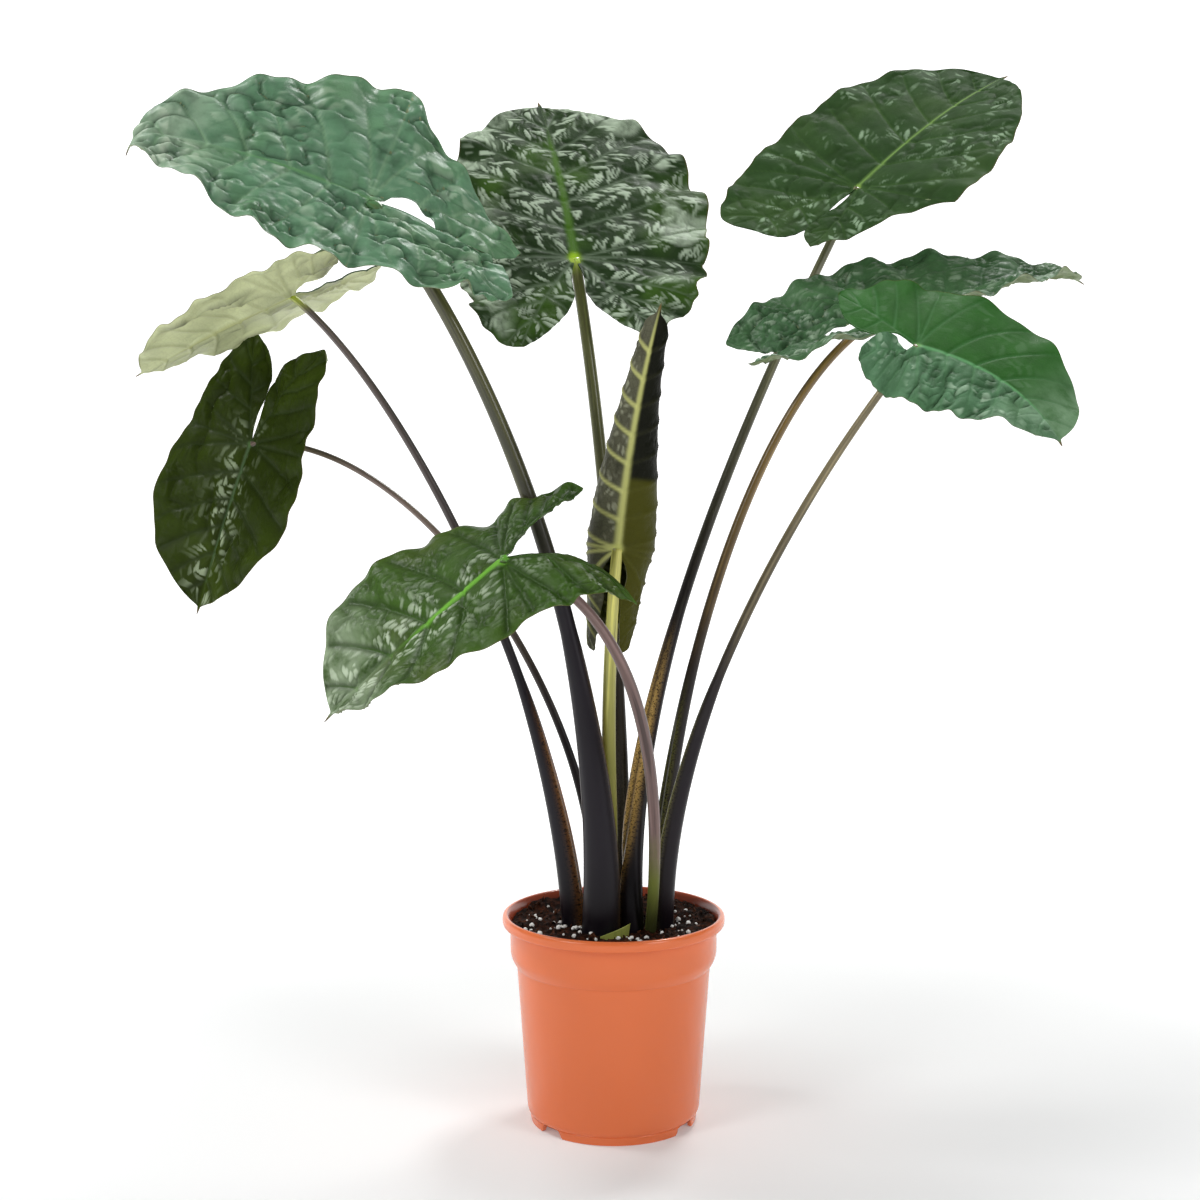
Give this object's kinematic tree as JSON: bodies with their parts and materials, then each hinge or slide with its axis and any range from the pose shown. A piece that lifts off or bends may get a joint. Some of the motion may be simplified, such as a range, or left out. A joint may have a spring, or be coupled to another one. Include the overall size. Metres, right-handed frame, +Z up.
{
  "type": "potted alocasia plant",
  "caption": "Potted alocasia house plant: large arrow-shaped, silvery green quilted leaves on long dark stalks in a terracotta-coloured plastic nursery pot.",
  "frame": {"origin": "centre of the pot's flat base, on the surface the pot stands on", "axes": "+Z up along the pot's axis, -Y towards the viewer of the front, +X to the viewer's right"},
  "size_m": [0.9227, 0.4884, 1.02],
  "materials": {
    "pot": "glossy",
    "soil": "damp, matt",
    "crown": "rough",
    "basal_sheath": "waxy",
    "blade_upper_left": "leathery, satin",
    "petiole_upper_left": "waxy, satin",
    "blade_upright_middle": "leathery, satin",
    "petiole_upright_middle": "waxy, satin",
    "blade_high_right": "leathery, satin",
    "petiole_high_right": "waxy, satin",
    "blade_back_right": "leathery, satin",
    "petiole_back_right": "waxy, satin",
    "blade_front_right": "leathery, satin",
    "petiole_front_right": "waxy, satin",
    "blade_back_left": "leathery, satin",
    "petiole_back_left": "waxy, satin",
    "blade_hanging_left": "leathery, satin",
    "petiole_hanging_left": "waxy, satin",
    "blade_front_low": "leathery, satin",
    "petiole_front_low": "waxy, satin",
    "blade_young_rolled": "leathery, satin",
    "petiole_young_rolled": "waxy, satin"
  },
  "bodies": {
    "root": {"pot": "pot", "soil": "soil", "crown": "crown", "basal_sheath": "basal_sheath", "blade_upper_left": "blade_upper_left", "petiole_upper_left": "petiole_upper_left", "blade_upright_middle": "blade_upright_middle", "petiole_upright_middle": "petiole_upright_middle", "blade_high_right": "blade_high_right", "petiole_high_right": "petiole_high_right", "blade_back_right": "blade_back_right", "petiole_back_right": "petiole_back_right", "blade_front_right": "blade_front_right", "petiole_front_right": "petiole_front_right", "blade_back_left": "blade_back_left", "petiole_back_left": "petiole_back_left", "blade_hanging_left": "blade_hanging_left", "petiole_hanging_left": "petiole_hanging_left", "blade_front_low": "blade_front_low", "petiole_front_low": "petiole_front_low", "blade_young_rolled": "blade_young_rolled", "petiole_young_rolled": "petiole_young_rolled"}
  },
  "joints": []
}
